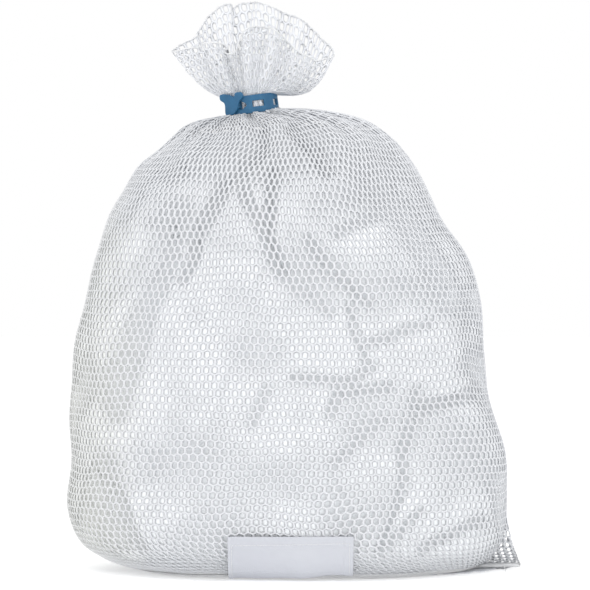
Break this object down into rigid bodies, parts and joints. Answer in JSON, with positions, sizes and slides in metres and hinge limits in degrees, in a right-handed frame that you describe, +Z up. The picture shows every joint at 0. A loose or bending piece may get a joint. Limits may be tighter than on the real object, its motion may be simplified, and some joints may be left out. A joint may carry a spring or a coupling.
{
  "type": "mesh laundry bag",
  "caption": "Knitted mesh laundry bag, packed with white laundry, its mouth gathered to a ruffle and tied with a slotted rubber strap, with a blank woven patch at the bottom seam.",
  "frame": {"origin": "on the floor, under the centre of the bag's box", "axes": "+Z up along the bag to its ruffle, -Y out of the front, where the patch is, +X towards the side seam"},
  "size_m": [0.451, 0.316, 0.5656],
  "materials": {
    "net_knit": "matt white polyester warp knit with hexagonal holes",
    "thread": "matt white overlock and lockstitch thread",
    "label_twill": "smooth white woven patch, blank",
    "laundry_cotton": "matt white cotton",
    "rubber": "satin blue moulded rubber"
  },
  "bodies": {
    "bag": {"net_body": "net_knit", "net_neck": "net_knit", "net_ruffle": "net_knit", "corner_ear": "net_knit", "mouth_hem": "thread", "side_seam": "thread", "bottom_seam": "thread", "seam_thread_tail": "thread", "label_patch": "label_twill", "label_stitching": "thread", "closure_band": "rubber", "closure_tail": "rubber", "closure_stitching": "thread", "towel_lower_left": "laundry_cotton", "towel_lower_right": "laundry_cotton", "sheet_middle_left": "laundry_cotton", "sheet_middle_right": "laundry_cotton", "sheet_middle_back": "laundry_cotton", "pillowcase_upper_left": "laundry_cotton", "pillowcase_upper_right": "laundry_cotton"},
    "arm": {"closure_arm": "rubber"}
  },
  "joints": [
    {"name": "closure_open", "type": "hinge", "parent": "bag", "child": "arm", "pos_m": [-0.01506, 0, 0.46522], "axis": [-0.1392, 0, 0.9903], "range_deg": [0, 110], "stiffness_Nm_per_rad": 0.007, "deforming": ["closure_tail"]}
  ]
}
